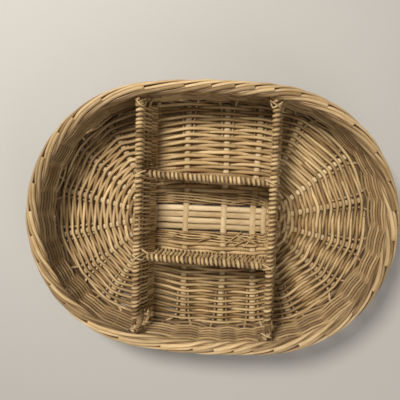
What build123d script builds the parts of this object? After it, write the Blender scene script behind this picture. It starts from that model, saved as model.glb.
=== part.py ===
"""An oval willow bread basket with five compartments: +Z up, origin under its middle, millimetres.

The base is a pierced slath: cross sticks, with four long sticks threaded through them, woven round
into an oval mat. Side stakes lie beside the stick ends, turn up into the wall and end in a thick
border. Four woven dividers stand inside, tied to the wall and to each other.
A woven mat is one closed solid of its outer shape, with a channel for each rod that runs in it.
"""

from build123d import *
from math import atan2, cos, degrees, hypot, pi, radians, sin, tan
import os

# ---- Driving dimensions ----
overall_length = 430.0
overall_width = 318.0
overall_height = 72.0
side_bow = 3.0  # half the width, less the radius of the rounded ends

fit_gap = 0.1  # between a rod and the weave packed round it
joint_gap = 0.5  # between two woven pieces that meet

border_width = 16.0
border_height = 12.0
border_corner = 5.0
border_overhang = 4.0  # the border stands this far outside the wall
stake_grip = 4.0  # how far the stakes run up into the border

wall_thickness = 9.0
wall_flare = 2.5  # how much further out the wall is at its top than at its foot
upsett_rise = 3.0  # how far the thick rows that turn the stakes up stand above the base
upsett_proud = 1.0  # how far those rows stand outside the wall's foot

base_cover = 3.0  # of weave, above and below the cross sticks
long_stick_count = 4
long_stick_width = 7.4
long_stick_thickness = 4.4
long_stick_spacing = 0.6  # between neighbours in the slath
long_stick_fan = (-40.0, -13.5, 13.5, 40.0)  # how the ends spread, front to back, degrees
long_stick_bend = 14.0
long_stick_centre_y = -4.0
fan_clearance = 8.0  # from the outermost cross stick to where the long sticks spread

cross_stick_width = 7.6
cross_stick_thickness = 7.0
cross_sticks = ((-72.0, 32.0), (-31.0, 0.0), (19.0, 0.0), (56.5, -2.5), (70.0, -20.5))  # x, lean in degrees
cross_stick_bend = 20.0
slath_margin = 1.6  # bare gap round the slath, before the first rows
pairing_width = 14.0  # the band of fine rows round the slath
stick_rounding = 0.4  # the radius of a stick's edges, as a share of its thinner side

stake_diameter = 3.4
stake_length_in_base = 48.0
stake_clearance = 1.0  # between a stick and the stake beside it, at the stake's inner end
stake_bend = 8.0

long_divider_x = (-83.0, 73.0)
long_divider_lean = 13.0  # degrees from upright; the feet stand further towards +X than the rails
cross_divider_y = (47.7, -50.4)  # back, front, on the basket's centre line
cross_divider_skew = (-2.3, -1.9)  # degrees
rail_diameter = 4.6
rail_cover = 1.8  # of weave, round a rail
rail_drop = 8.5  # from the rim's top to the centre of a long divider's rail
divider_rod_diameter = 4.0
divider_rod_cover = 1.2  # of weave, on each side of the rods
divider_rod_count = 2
lowest_rod_rise = 5.0
divider_bare_end = 12.0  # the woven panel stops this far short of the wall
divider_grip_clearance = 0.3  # between a stake and the end of a rod or a tie that runs into the wall
rail_wrap_margin = 2.0  # bare rail at each end
rail_poke = 3.0  # a cross divider's rail ends this far past the long divider

lashing_diameter = 2.4
lashing_setback = 9.0  # from the border's inner edge to where a tie crosses the rail
lashing_bend = 3.0
lashing_slope = 52.0  # degrees down to the wall

search_tolerance = 1e-6  # for lengths found by halving

# ---- Sizes that follow ----
half_width = overall_width / 2
end_radius = half_width - side_bow
end_centre = overall_length / 2 - end_radius
side_radius = (end_centre**2 + half_width**2 - end_radius**2) / (2 * side_bow)
side_centre = side_radius - half_width
join_angle = atan2(side_centre, end_centre)  # where an end arc meets a side arc

base_thickness = cross_stick_thickness + 2 * base_cover
stick_z = base_thickness / 2
upsett_height = base_thickness + upsett_rise
long_stick_pitch = long_stick_width + long_stick_spacing
stake_offset = cross_stick_width / 2 + stake_diameter / 2 + stake_clearance
wall_top = overall_height - border_height
outer_inset_top = border_overhang
outer_inset_foot = outer_inset_top + wall_flare
inner_inset_foot = outer_inset_foot + wall_thickness
stake_inset_top = outer_inset_top + wall_thickness / 2
stake_inset_foot = outer_inset_foot + wall_thickness / 2

rail_wrap_diameter = rail_diameter + 2 * rail_cover
divider_thickness = divider_rod_diameter + 2 * divider_rod_cover
divider_grip = (wall_thickness - stake_diameter) / 2 - divider_grip_clearance
lashing_grip = divider_grip - lashing_diameter / 2 * sin(radians(lashing_slope))
divider_half = divider_thickness / 2 / cos(radians(long_divider_lean))  # level, across a leaning divider
long_rail_z = overall_height - rail_drop
cross_rail_z = long_rail_z - rail_diameter - 2 * fit_gap
slath_half_height = long_stick_count * long_stick_pitch / 2 + slath_margin
slath_left = cross_sticks[0][0] - cross_stick_width / 2
slath_right = cross_sticks[-1][0] + cross_stick_width / 2


# ---- The oval ----
def oval(inset, z=0.0):
    """The basket's plan outline, moved in by inset, as a face at height z. Its arcs keep their centres."""
    join = degrees(join_angle)
    end = end_radius - inset
    side = side_radius - inset
    arcs = [
        CenterArc((end_centre, 0), end, -join, 2 * join),
        CenterArc((0, -side_centre), side, join, 180 - 2 * join),
        CenterArc((-end_centre, 0), end, 180 - join, 2 * join),
        CenterArc((0, side_centre), side, 180 + join, 180 - 2 * join),
    ]
    return Pos(0, 0, z) * Face(Wire(arcs))


def depth(x, y):
    """How far inside the outermost oval a point lies, square to the edge."""
    x, y = abs(x), abs(y)
    if atan2(y + side_centre, x) > join_angle:
        return side_radius - hypot(x, y + side_centre)
    return end_radius - hypot(x - end_centre, y)


def reach(x, y, angle, inset):
    """The distance from (x, y), along an angle in radians, to the oval moved in by inset."""
    near, far = 0.0, overall_length
    while far - near > search_tolerance:
        middle = (near + far) / 2
        if depth(x + middle * cos(angle), y + middle * sin(angle)) > inset:
            near = middle
        else:
            far = middle
    return near


def clear_run(x, y, angle, inset, width):
    """How far a square-ended rod of this width runs from (x, y), along an angle, inside the inset."""
    sideways = (-sin(angle) * width / 2, cos(angle) * width / 2)
    edges = [(x + side * sideways[0], y + side * sideways[1]) for side in (-1, 1)]
    return min(reach(*edge, angle, inset) for edge in edges)


def wall_inset(z):
    """The inset of the wall's inner face at height z."""
    rise = (z - upsett_height) / (wall_top - upsett_height)
    return inner_inset_foot - wall_flare * min(max(rise, 0), 1)


def oval_ring(outer, inner, bottom, top, flare=0.0):
    """A ring between two insets, from bottom to top, moving out by flare as it rises."""
    shell = loft([oval(outer, bottom), oval(outer - flare, top)], ruled=True)
    hollow = loft([oval(inner, bottom), oval(inner - flare, top)], ruled=True)
    return shell - hollow


# ---- Rods ----
def rod_along(path, section):
    """Sweep a section along a path, with the section's X axis level."""
    start, along = path @ 0, path % 0
    level = Vector(0, 0, 1).cross(along)
    across = level if level.length > fit_gap else Vector(1, 0, 0)
    return sweep(Plane(start, x_dir=across, z_dir=along) * section, path=path)


def stick_section(width, thickness, gap):
    """A peeled stick's section: flat above and below, with rounded edges."""
    corner = min(width, thickness) * stick_rounding
    return RectangleRounded(width + 2 * gap, thickness + 2 * gap, corner)


def long_stick_paths():
    """The four long sticks: straight through the slath, then fanned towards the base's edge."""
    paths = []
    fan_left = slath_left - fan_clearance
    fan_right = slath_right + fan_clearance
    for number, fan in enumerate(long_stick_fan):
        y = long_stick_centre_y + (number - (long_stick_count - 1) / 2) * long_stick_pitch
        right = radians(fan)
        left = pi - right
        right_run = clear_run(fan_right, y, right, inner_inset_foot + joint_gap, long_stick_width)
        left_run = clear_run(fan_left, y, left, inner_inset_foot + joint_gap, long_stick_width)
        points = [
            (fan_left + left_run * cos(left), y + left_run * sin(left), stick_z),
            (fan_left, y, stick_z),
            (fan_right, y, stick_z),
            (fan_right + right_run * cos(right), y + right_run * sin(right), stick_z),
        ]
        paths.append(FilletPolyline(*points, radius=long_stick_bend))
    return paths


def cross_stick_paths():
    """The five cross sticks, square to the long ones, the outer ones bent outwards past the slath."""
    paths = []
    for x, lean in cross_sticks:
        ends = []
        for side in (-1, 1):
            knee = (x, long_stick_centre_y + side * slath_half_height, stick_z)
            angle = radians(side * (90 + lean))
            run = clear_run(x, knee[1], angle, inner_inset_foot + joint_gap, cross_stick_width)
            ends.append((knee, (x + run * cos(angle), knee[1] + run * sin(angle), stick_z)))
        (front_knee, front), (back_knee, back) = ends
        if lean:
            paths.append(FilletPolyline(front, front_knee, back_knee, back, radius=cross_stick_bend))
        else:
            paths.append(Line(front, back))
    return paths


def make_long_sticks(gap=0.0):
    section = stick_section(long_stick_width, long_stick_thickness, gap)
    return [rod_along(path, section) for path in long_stick_paths()]


def make_cross_sticks(gap=0.0):
    section = stick_section(cross_stick_width, cross_stick_thickness, gap)
    return [rod_along(path, section) for path in cross_stick_paths()]


def stick_ends():
    """Where each stick, carried on, meets the middle of the wall, with its outward direction."""
    ends = []
    for path in long_stick_paths() + cross_stick_paths():
        for tip, outward in ((path @ 0, path % 0 * -1), (path @ 1, path % 1)):
            angle = atan2(outward.Y, outward.X)
            run = reach(tip.X, tip.Y, angle, stake_inset_foot)
            ends.append((Vector(tip.X, tip.Y) + outward * run, outward))
    return ends


def stake_paths():
    """Two stakes for each stick end, evenly spread round the wall where they turn up."""
    rim = oval(stake_inset_foot).outer_wire()
    ends = sorted((rim.param_at_point(hit), hit, outward) for hit, outward in stick_ends())
    paths = []
    for number, (place, hit, outward) in enumerate(ends):
        sideways = Vector(-outward.Y, outward.X)
        before = (place - ends[number - 1][0]) % 1
        after = (ends[(number + 1) % len(ends)][0] - place) % 1
        for side, share in ((-1, -before / 4), (1, after / 4)):
            foot = rim @ ((place + share) % 1)
            start = hit - outward * stake_length_in_base + sideways * (side * stake_offset)
            along = (foot - start).normalized()
            head = foot + along * (stake_inset_foot - stake_inset_top)
            points = [
                (start.X, start.Y, stick_z),
                (foot.X, foot.Y, stick_z),
                (head.X, head.Y, wall_top + stake_grip),
            ]
            paths.append(FilletPolyline(*points, radius=stake_bend))
    return paths


def make_stakes(gap=0.0):
    section = Circle(stake_diameter / 2 + gap)
    return [rod_along(path, section) for path in stake_paths()]


# ---- Base and wall ----
def slath_outline(margin):
    """A rounded rectangle round the bare middle of the base, margin outside the sticks."""
    length = slath_right - slath_left + 2 * (slath_margin + margin)
    height = 2 * (slath_half_height + margin)
    outline = RectangleRounded(length, height, slath_margin + margin)
    return Pos((slath_left + slath_right) / 2, long_stick_centre_y) * outline


def make_base_pairing():
    band = slath_outline(pairing_width) - slath_outline(0)
    return extrude(band, base_thickness)


def make_base_weave():
    mat = oval(inner_inset_foot + fit_gap) - slath_outline(pairing_width + fit_gap)
    return extrude(mat, base_thickness)


def make_upsett():
    return oval_ring(outer_inset_foot - upsett_proud, inner_inset_foot, 0, upsett_height)


def make_wall():
    bottom = upsett_height + fit_gap
    top = wall_top - fit_gap
    return oval_ring(outer_inset_foot, inner_inset_foot, bottom, top, wall_flare)


def make_border():
    route = oval(border_width / 2, overall_height - border_height / 2).outer_wire()
    section = RectangleRounded(border_width, border_height, border_corner)
    return rod_along(route, section)


# ---- Dividers ----
def rod_heights(rail_z):
    """The heights of the rods under a rail, evenly spaced up to it."""
    lowest = base_thickness + lowest_rod_rise
    pitch = (rail_z - lowest) / divider_rod_count
    return [lowest + number * pitch for number in range(divider_rod_count)]


def straight_rod(start, end, diameter):
    return rod_along(Line(start, end), Circle(diameter / 2))


def lean_shift(z):
    """How far a long divider's middle at height z stands towards +X from its rail."""
    return (long_rail_z - z) * tan(radians(long_divider_lean))


def upright_sheet(corners, low_y, high_y):
    """A sheet with these corners in the XZ plane, from low_y to high_y."""
    section = make_face(Polyline(*[(x, low_y, z) for x, z in corners], close=True))
    return extrude(section, high_y - low_y, dir=(0, 1, 0))


def make_long_divider(x):
    """The rail, rods and weave of a divider that runs from wall to wall, with the rods' cutters."""

    def span(middle, inset, width):
        return [side * clear_run(middle, 0, side * pi / 2, inset, width) for side in (-1, 1)]

    def rod(middle, z, ends, diameter):
        return straight_rod(*[(middle, y, z) for y in ends], diameter)

    rail_ends = span(x, border_width + joint_gap, rail_diameter)
    wrap_ends = (rail_ends[0] + rail_wrap_margin, rail_ends[1] - rail_wrap_margin)
    bottom = base_thickness + fit_gap
    foot = x + lean_shift(bottom)
    panel_ends = span(foot, wall_inset(bottom), 2 * divider_half)
    rails = []
    rods = []
    for gap in (0.0, fit_gap):
        rails.append(rod(x, long_rail_z, rail_ends, rail_diameter + 2 * gap))
        for z in rod_heights(long_rail_z):
            middle = x + lean_shift(z)
            ends = span(middle, wall_inset(z) - divider_grip - gap, divider_rod_diameter)
            rods.append(rod(middle, z, ends, divider_rod_diameter + 2 * gap))
    corners = [
        (foot - divider_half, bottom),
        (foot + divider_half, bottom),
        (x + divider_half, long_rail_z),
        (x - divider_half, long_rail_z),
    ]
    panel = upright_sheet(corners, panel_ends[0] + divider_bare_end, panel_ends[1] - divider_bare_end)
    weave = panel + rod(x, long_rail_z, wrap_ends, rail_wrap_diameter)
    return rails, rods[:divider_rod_count], rods[divider_rod_count:], weave


def make_cross_divider(y, skew):
    """The rail, rods and weave of a divider between the two long ones, with the rail's cutter."""
    place = Location((0, y, 0), (0, 0, skew))
    stretch = 1 / cos(radians(skew))
    left, right = long_divider_x

    def span(z, height, setback):
        """Both ends at height z of a piece this tall, setback clear of the leaning dividers' middles."""
        clear = setback + height / 2 * tan(radians(long_divider_lean))
        return ((left + lean_shift(z) + clear) * stretch, (right + lean_shift(z) - clear) * stretch)

    face = divider_half + joint_gap
    rail_reach = rail_wrap_diameter / 2 + rail_poke
    rail_ends = ((left - rail_reach) * stretch, (right + rail_reach) * stretch)
    rails = []
    rods = []
    for gap in (0.0, fit_gap):
        ends = [(x, 0, cross_rail_z) for x in rail_ends]
        rails.append(place * straight_rod(*ends, rail_diameter + 2 * gap))
        for z in rod_heights(cross_rail_z):
            ends = [(x, 0, z) for x in span(z, divider_rod_diameter, face)]
            rods.append(place * straight_rod(*ends, divider_rod_diameter + 2 * gap))
    bottom = base_thickness + fit_gap
    foot_left, foot_right = span(bottom, 0, face)
    head_left, head_right = span(cross_rail_z, 0, face)
    corners = [
        (foot_left, bottom),
        (foot_right, bottom),
        (head_right, cross_rail_z),
        (head_left, cross_rail_z),
    ]
    panel = upright_sheet(corners, -divider_thickness / 2, divider_thickness / 2)
    wrap_left = span(cross_rail_z, rail_wrap_diameter, face)[0]
    wrap_right = (right - rail_wrap_diameter / 2 - joint_gap) * stretch
    wrap = straight_rod((wrap_left, 0, cross_rail_z), (wrap_right, 0, cross_rail_z), rail_wrap_diameter)
    return rails, rods[:divider_rod_count], rods[divider_rod_count:], place * (panel + wrap)


def lashing_path(x, side):
    """A tie that comes out of the wall, over a long divider's rail and back into the wall."""
    radius = lashing_diameter / 2
    half_span = rail_wrap_diameter / 2 + radius + joint_gap
    over_z = long_rail_z + rail_wrap_diameter / 2 + radius + joint_gap
    over_y = reach(x, 0, pi / 2, border_width) - lashing_setback
    drop = sin(radians(lashing_slope))
    foot_y = over_y
    foot_z = over_z
    while depth(x, foot_y) > wall_inset(foot_z) - lashing_grip:
        foot_y += cos(radians(lashing_slope)) * fit_gap
        foot_z -= drop * fit_gap
    points = [
        (x - half_span, side * foot_y, foot_z),
        (x - half_span, side * over_y, over_z),
        (x + half_span, side * over_y, over_z),
        (x + half_span, side * foot_y, foot_z),
    ]
    return FilletPolyline(*points, radius=lashing_bend)


def make_wall_lashings(gap=0.0):
    section = Circle(lashing_diameter / 2 + gap)
    return [rod_along(lashing_path(x, side), section) for x in long_divider_x for side in (-1, 1)]


def make_crossing_ties():
    """The ties where a cross divider's rail passes under a long divider's rail."""
    ties = []
    radius = lashing_diameter / 2
    arch = rail_wrap_diameter / 2 + radius + joint_gap
    outer_foot = cross_rail_z + rail_diameter / 2 + fit_gap
    inner_foot = cross_rail_z + rail_wrap_diameter / 2 + fit_gap
    for y, skew in zip(cross_divider_y, cross_divider_skew):
        for x, inward in zip(long_divider_x, (1, -1)):
            middle = Pos(x, y + x * sin(radians(skew)) / cos(radians(skew))) * Rot(0, 0, skew)
            outer = -inward * arch
            inner = inward * arch
            path = Wire([
                Line((outer, 0, outer_foot), (outer, 0, long_rail_z)),
                ThreePointArc((outer, 0, long_rail_z), (0, 0, long_rail_z + arch), (inner, 0, long_rail_z)),
                Line((inner, 0, long_rail_z), (inner, 0, inner_foot)),
            ])
            ties.append(middle * rod_along(path, Circle(radius)))
    return ties


# ---- Assembly ----
def cut(solid, cutters):
    """Take every cutter whose box meets the solid's box out of the solid."""
    reach_box = solid.bounding_box()
    near = [c for c in cutters if c.bounding_box().overlaps(reach_box)]
    return solid - near if near else solid


def make_nodes():
    stakes = make_stakes()
    stake_cutters = make_stakes(fit_gap)
    long_cutters = make_long_sticks(fit_gap)
    cross_cutters = make_cross_sticks(fit_gap)
    lashing_cutters = make_wall_lashings(fit_gap)
    base_cutters = long_cutters + cross_cutters + stake_cutters

    nodes = {
        "base_long_sticks": make_long_sticks(),
        "base_cross_sticks": [cut(stick, long_cutters) for stick in make_cross_sticks()],
        "base_pairing": [cut(make_base_pairing(), base_cutters)],
        "base_weave": [cut(make_base_weave(), base_cutters)],
        "side_stakes": stakes,
        "upsett_waling": [cut(make_upsett(), stake_cutters)],
        "border": [cut(make_border(), stake_cutters)],
        "wall_lashings": make_wall_lashings(),
        "crossing_ties": make_crossing_ties(),
    }
    cross_dividers = {
        name: make_cross_divider(y, skew)
        for name, y, skew in zip(("back_cross", "front_cross"), cross_divider_y, cross_divider_skew)
    }
    cross_rail_cutters = [rails[1] for rails, _, _, _ in cross_dividers.values()]
    wall_cutters = stake_cutters + lashing_cutters
    for name, x in zip(("left", "right"), long_divider_x):
        rails, rods, rod_cutters, weave = make_long_divider(x)
        nodes[f"{name}_divider_rail"] = [rails[0]]
        nodes[f"{name}_divider_rods"] = rods
        nodes[f"{name}_divider_weave"] = [cut(weave, [rails[1]] + rod_cutters + cross_rail_cutters)]
        wall_cutters += rod_cutters
    for name, (rails, rods, rod_cutters, weave) in cross_dividers.items():
        nodes[f"{name}_divider_rail"] = [rails[0]]
        nodes[f"{name}_divider_rods"] = rods
        nodes[f"{name}_divider_weave"] = [cut(weave, [rails[1]] + rod_cutters)]
    nodes["wall_weave"] = [cut(make_wall(), wall_cutters)]
    return nodes


os.makedirs("parts", exist_ok=True)
for node, solids in make_nodes().items():
    pieces = [piece for solid in solids for piece in solid.solids()]
    export_step(Compound(children=pieces), f"parts/{node}.step")
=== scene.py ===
"""The looks of the oval willow bread basket: every woven mat is made again from single willow strands.

Lengths are in millimetres until a mesh is made, and metres in Blender. Each mat's strands follow the
plan oval, the base sticks or a divider's frame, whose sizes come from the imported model's boxes where
those give them.
"""
from collections import namedtuple
from math import atan2, cos, hypot, pi, radians, sin, tan

import bpy
import numpy as np
from mathutils import Matrix, Vector


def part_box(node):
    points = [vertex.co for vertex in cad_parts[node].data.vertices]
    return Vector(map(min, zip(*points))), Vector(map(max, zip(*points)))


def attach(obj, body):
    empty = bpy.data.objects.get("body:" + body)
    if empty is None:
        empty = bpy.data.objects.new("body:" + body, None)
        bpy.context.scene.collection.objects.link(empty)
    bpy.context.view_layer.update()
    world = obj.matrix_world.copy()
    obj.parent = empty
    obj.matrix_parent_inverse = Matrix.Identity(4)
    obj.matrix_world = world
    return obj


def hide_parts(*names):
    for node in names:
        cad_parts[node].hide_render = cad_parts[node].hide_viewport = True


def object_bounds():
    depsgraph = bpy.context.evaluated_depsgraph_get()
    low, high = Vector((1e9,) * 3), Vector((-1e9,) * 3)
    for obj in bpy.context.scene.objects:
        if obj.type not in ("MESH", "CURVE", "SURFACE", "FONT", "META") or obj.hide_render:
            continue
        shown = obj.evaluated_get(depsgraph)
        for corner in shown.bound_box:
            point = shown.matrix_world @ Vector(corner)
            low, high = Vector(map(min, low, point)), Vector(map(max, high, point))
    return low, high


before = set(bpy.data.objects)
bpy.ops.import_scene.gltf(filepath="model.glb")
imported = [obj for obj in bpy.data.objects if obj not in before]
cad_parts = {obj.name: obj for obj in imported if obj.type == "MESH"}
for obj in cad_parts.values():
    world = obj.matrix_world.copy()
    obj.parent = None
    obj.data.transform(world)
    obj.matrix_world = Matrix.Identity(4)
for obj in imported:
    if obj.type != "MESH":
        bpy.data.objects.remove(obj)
cad_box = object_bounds()

MM = 0.001
SEED = 7
random = np.random.default_rng(SEED)

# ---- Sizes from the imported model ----


def put_in_scene(name, data):
    """A new object that holds the data, in the scene."""
    made = bpy.data.objects.new(name, data)
    bpy.context.scene.collection.objects.link(made)
    return made


def box_mm(node):
    """A CAD node's lowest and highest corners, in millimetres."""
    low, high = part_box(node)
    return np.array(low) / MM, np.array(high) / MM


border_low, border_high = box_mm("border")
_, upsett_high = box_mm("upsett_waling")
_, wall_high = box_mm("wall_weave")
_, mat_high = box_mm("base_weave")
pairing_low, pairing_high = box_mm("base_pairing")
HALF_LENGTH, HALF_WIDTH, RIM_Z = border_high
BORDER_BOTTOM = border_low[2]
BASE_TOP = mat_high[2]
STICK_Z = BASE_TOP / 2
UPSETT_TOP = upsett_high[2]
INSET_FOOT_INNER = HALF_LENGTH - mat_high[0]
INSET_TOP_OUTER = HALF_LENGTH - wall_high[0]
RAIL_Z = {
    name: np.mean([corner[2] for corner in box_mm(f"{name}_divider_rail")])
    for name in ("left", "right", "back_cross", "front_cross")
}

# ---- Sizes that the boxes don't give ----
SIDE_BOW = 3.0
BORDER_WIDTH = 16.0
WALL_THICKNESS = 9.0
# Each cross stick's x and how far its ends lean towards -X, in degrees.
CROSS_STICKS = ((-72.0, 32.0), (-31.0, 0.0), (19.0, 0.0), (56.5, -2.5), (70.0, -20.5))
CROSS_STICK_SIZE = (9.0, 6.0)
LONG_STICK_FAN = (-40.0, -13.5, 13.5, 40.0)  # each long stick's turn at its bends, in degrees
LONG_STICK_SIZE = (7.6, 3.8)
LONG_STICK_PITCH = 8.0
FAN_CLEARANCE = 8.0  # from the outermost cross sticks to where the long ones bend
SLATH_MARGIN = 1.6
PRECISION = 1e-4
UP = (0, 0, 1)
CROSS_SKEW = {"back_cross": -2.3, "front_cross": -1.9}
# How far the dividers' feet stand towards +X, for each millimetre under the rail.
DIVIDER_LEAN = tan(radians(13.0))
DIVIDER_FACE = 4.0  # from a long divider's middle to its face

# ---- The plan oval: two end arcs and two side arcs that share their tangents ----
END_RADIUS = HALF_WIDTH - SIDE_BOW
END_CENTRE = HALF_LENGTH - END_RADIUS
SIDE_RADIUS = (END_CENTRE**2 + HALF_WIDTH**2 - END_RADIUS**2) / (2 * SIDE_BOW)
SIDE_CENTRE = SIDE_RADIUS - HALF_WIDTH
JOIN_ANGLE = atan2(SIDE_CENTRE, END_CENTRE)


def depth(x, y):
    """How far inside the outermost oval a point lies, square to the edge."""
    x, y = abs(x), abs(y)
    if atan2(y + SIDE_CENTRE, x) > JOIN_ANGLE:
        return SIDE_RADIUS - hypot(x, y + SIDE_CENTRE)
    return END_RADIUS - hypot(x - END_CENTRE, y)


def reach(x, y, angle, inset):
    """The distance from (x, y), along an angle in radians, to the oval moved in by inset."""
    near, far = 0.0, 2 * HALF_LENGTH
    while far - near > PRECISION:
        middle = (near + far) / 2
        if depth(x + middle * cos(angle), y + middle * sin(angle)) > inset:
            near = middle
        else:
            far = middle
    return near


def outward_normals(points):
    """The oval's outward direction at each plan point."""
    x, y = points[..., 0], points[..., 1]
    side = np.arctan2(np.abs(y) + SIDE_CENTRE, np.abs(x)) > JOIN_ANGLE
    centre_x = np.where(side, 0, np.sign(x) * END_CENTRE)
    centre_y = np.where(side, -np.sign(y) * SIDE_CENTRE, 0)
    away = points - np.stack([centre_x, centre_y], -1)
    return away / np.linalg.norm(away, axis=-1, keepdims=True)


class Oval:
    """The plan oval moved in by inset, by share of its length from the +X end, anticlockwise."""

    SAMPLES = 4001

    def __init__(self, inset):
        self.inset = inset
        turns = np.linspace(0, 2 * pi, self.SAMPLES)
        runs = np.array([reach(0, 0, turn, inset) for turn in turns])
        points = np.stack([runs * np.cos(turns), runs * np.sin(turns)], 1)
        steps = np.hypot(*np.diff(points, axis=0).T)
        self.shares = np.concatenate([[0], np.cumsum(steps)]) / steps.sum()
        self.length = steps.sum()
        self.turns = turns
        self.points = points

    def at(self, share):
        """Points and outward normals at shares of the length."""
        share = np.mod(share, 1)
        x = np.interp(share, self.shares, self.points[:, 0])
        y = np.interp(share, self.shares, self.points[:, 1])
        points = np.stack([x, y], -1)
        return points, outward_normals(points)

    def share_of(self, x, y):
        """The share of the length at which the oval lies in the direction of (x, y)."""
        turn = np.mod(np.arctan2(y, x), 2 * pi)
        return np.interp(turn, self.turns, self.shares)


WALL_FOOT = Oval(INSET_FOOT_INNER - WALL_THICKNESS / 2)
WALL_FLARE = WALL_FOOT.inset - (INSET_TOP_OUTER + WALL_THICKNESS / 2)
HIGHEST_RISE = 1.3  # a share of the wall's height: rows may run on into the border


def wall_point(share, z, out=0.0):
    """A point of the wall's middle surface, moved out by out, and the outward normal there."""
    plan, normal = WALL_FOOT.at(share)
    rise = np.clip((np.asarray(z, float) - UPSETT_TOP) / (BORDER_BOTTOM - UPSETT_TOP), 0, HIGHEST_RISE)
    plan = plan + normal * (WALL_FLARE * rise + out)[..., None]
    z = np.broadcast_to(z, plan.shape[:-1])
    return np.concatenate([plan, z[..., None]], -1), np.concatenate([normal, 0 * z[..., None]], -1)


# ---- Strands ----
STICK_STEP = 3.0  # between a stick's rings
STRAND_STEP = 2.2  # between the rings of a weaver in the base, or of a stake
WALL_STEP = 2.4
FINE_STEP = 1.6  # between the rings of a weft or a tie
OCTAVES = (1, 2.3)
OCTAVE_SUM = 1.4  # about what the octaves add up to at most
Strand = namedtuple("Strand", "points radius facing tone flat closed ends")


def unit(vectors):
    """The same directions with a length of 1."""
    return vectors / np.maximum(np.linalg.norm(vectors, axis=-1, keepdims=True), 1e-9)


def distances_along(points):
    """How far along a polyline each of its points lies."""
    return np.concatenate([[0], np.cumsum(np.linalg.norm(np.diff(points, axis=0), axis=1))])


def wander(distances, scale, amount):
    """A smooth random line: its value drifts over scale and stays within about amount."""
    value = np.zeros(len(distances))
    for octave in OCTAVES:
        value += np.sin(distances * (2 * pi * octave / scale) + random.uniform(0, 2 * pi)) / octave
    return amount * value / OCTAVE_SUM


def smooth(points, passes, closed=False):
    """Round the corners of evenly spaced points."""
    for _ in range(passes):
        before, after = np.roll(points, 1, 0), np.roll(points, -1, 0)
        moved = (before + 2 * points + after) / 4
        if not closed:
            moved[0], moved[-1] = points[0], points[-1]
        points = moved
    return points


def resample(points, step, closed=False):
    """Points at even distances along a polyline, about step apart."""
    points = np.asarray(points, float)
    if closed:
        points = np.vstack([points, points[:1]])
    gone = distances_along(points)
    count = max(int(round(gone[-1] / step)), 2)
    places = np.linspace(0, gone[-1], count + 1)
    if closed:
        places = places[:-1]
    return np.stack([np.interp(places, gone, points[:, i]) for i in range(points.shape[1])], 1)


class Sheet:
    """A square texture sheet, filled with strands row by row."""

    ROOM = 1.12  # its side, as a share of the least that could hold the strands
    GAPS = 1024  # how many gaps between strands would fill its side

    def __init__(self, area):
        self.side = area**0.5 * self.ROOM
        self.gap = self.side / self.GAPS
        self.u = self.gap
        self.v = self.gap

    def lay(self, steps, tall):
        """Where each step of a strand starts. A step that would leave the sheet starts a new row."""
        starts = np.empty((2, len(steps)))
        for number, step in enumerate(steps):
            if self.u + step > self.side - self.gap:
                self.u = self.gap
                self.v += tall + self.gap
            starts[:, number] = self.u, self.v
            self.u += step
        self.u += self.gap
        return starts


def strand_mesh(name, vertices, faces, sizes, tones, maps):
    """A smooth mesh. faces lists every corner's vertex in turn, and sizes each face's corner count."""
    mesh = bpy.data.meshes.new(name)
    mesh.vertices.add(len(vertices))
    mesh.vertices.foreach_set("co", (vertices * MM).astype(np.float32).ravel())
    mesh.loops.add(len(faces))
    mesh.loops.foreach_set("vertex_index", faces.astype(np.int32))
    mesh.polygons.add(len(sizes))
    starts = np.concatenate([[0], np.cumsum(sizes)[:-1]])
    mesh.polygons.foreach_set("loop_start", starts.astype(np.int32))
    mesh.polygons.foreach_set("use_smooth", np.ones(len(sizes), bool))
    mesh.update(calc_edges=True)
    for label, uv in maps.items():
        layer = mesh.uv_layers.new(name=label)
        layer.data.foreach_set("uv", uv.astype(np.float32).ravel())
    tone = mesh.attributes.new("tone", "FLOAT", "POINT")
    tone.data.foreach_set("value", tones.astype(np.float32))
    mesh.validate()
    return mesh


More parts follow.
